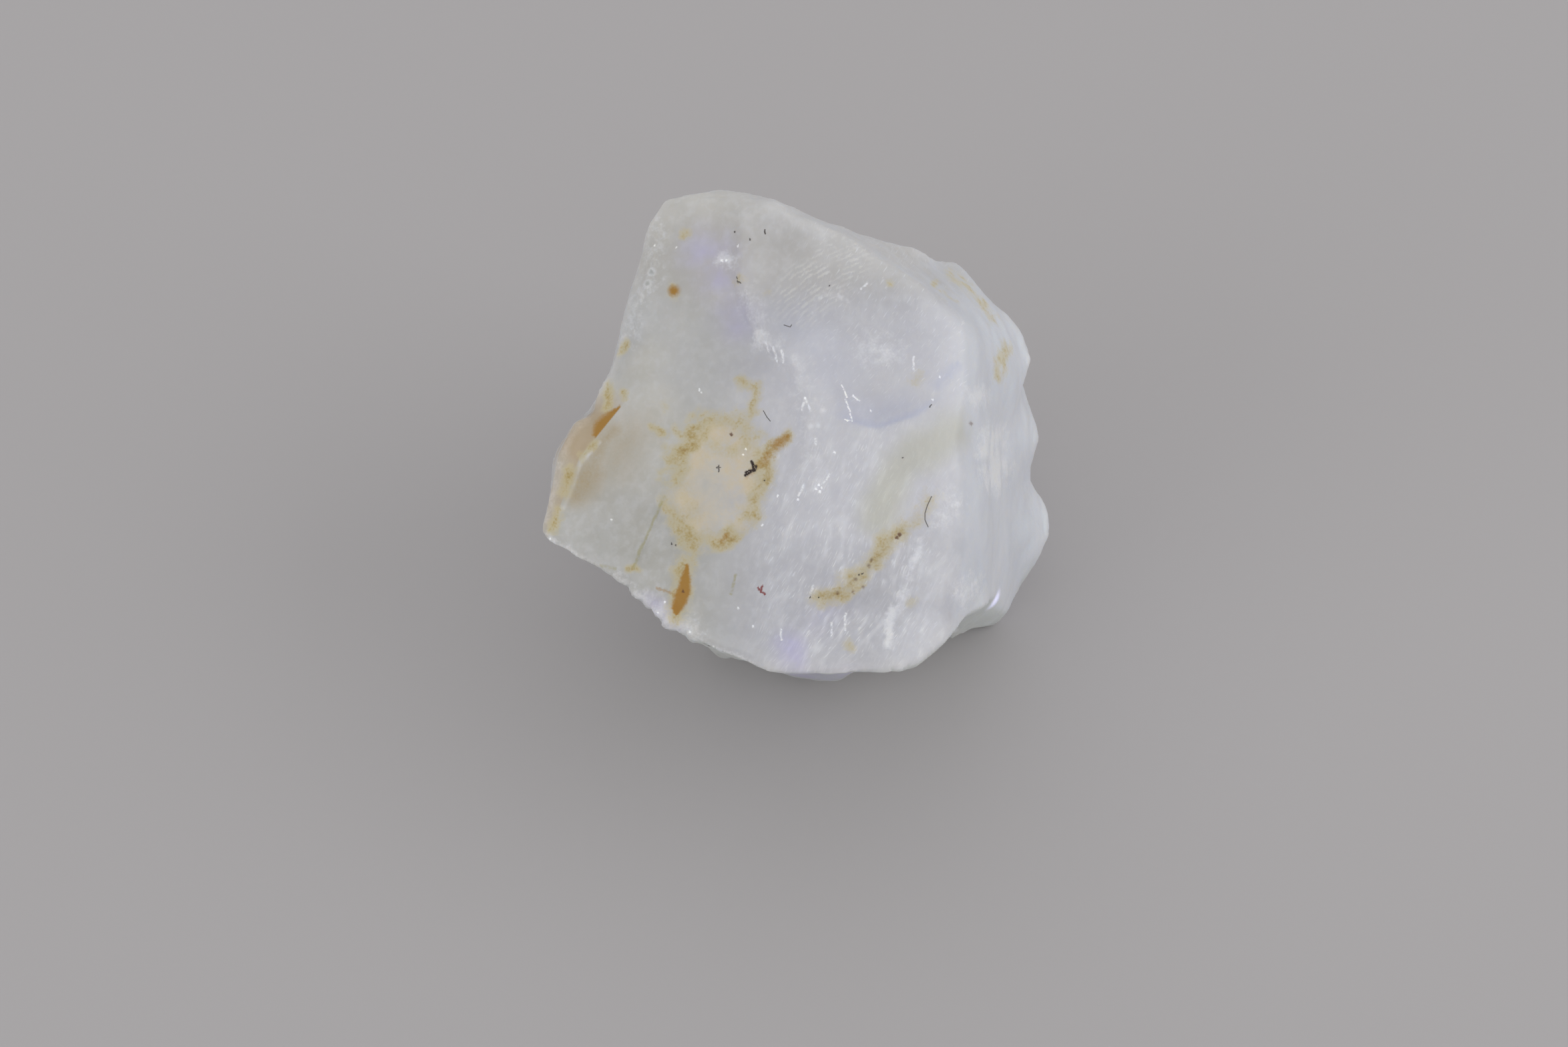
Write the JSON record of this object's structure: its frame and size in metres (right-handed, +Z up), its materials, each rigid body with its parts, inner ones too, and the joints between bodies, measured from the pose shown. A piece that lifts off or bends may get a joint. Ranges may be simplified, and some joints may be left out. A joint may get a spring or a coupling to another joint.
{
  "type": "rough feldspar stone",
  "caption": "Rough andesine feldspar fragment: a milky see-through block with a broad leaning cleavage face, an undercut front and a lobed side, resting on a small flat facet.",
  "frame": {"origin": "middle of the stone's box seen from above, at the level of the flat facet it rests on", "axes": "+Z up, +X to the stone's lobed right flank, -Y to the undercut front; the broad cleavage face leans back towards +Y"},
  "size_m": [0.0076, 0.008, 0.0075],
  "materials": {
    "andesine": "satin"
  },
  "bodies": {
    "root": {"andesine_stone": "andesine"}
  },
  "joints": []
}
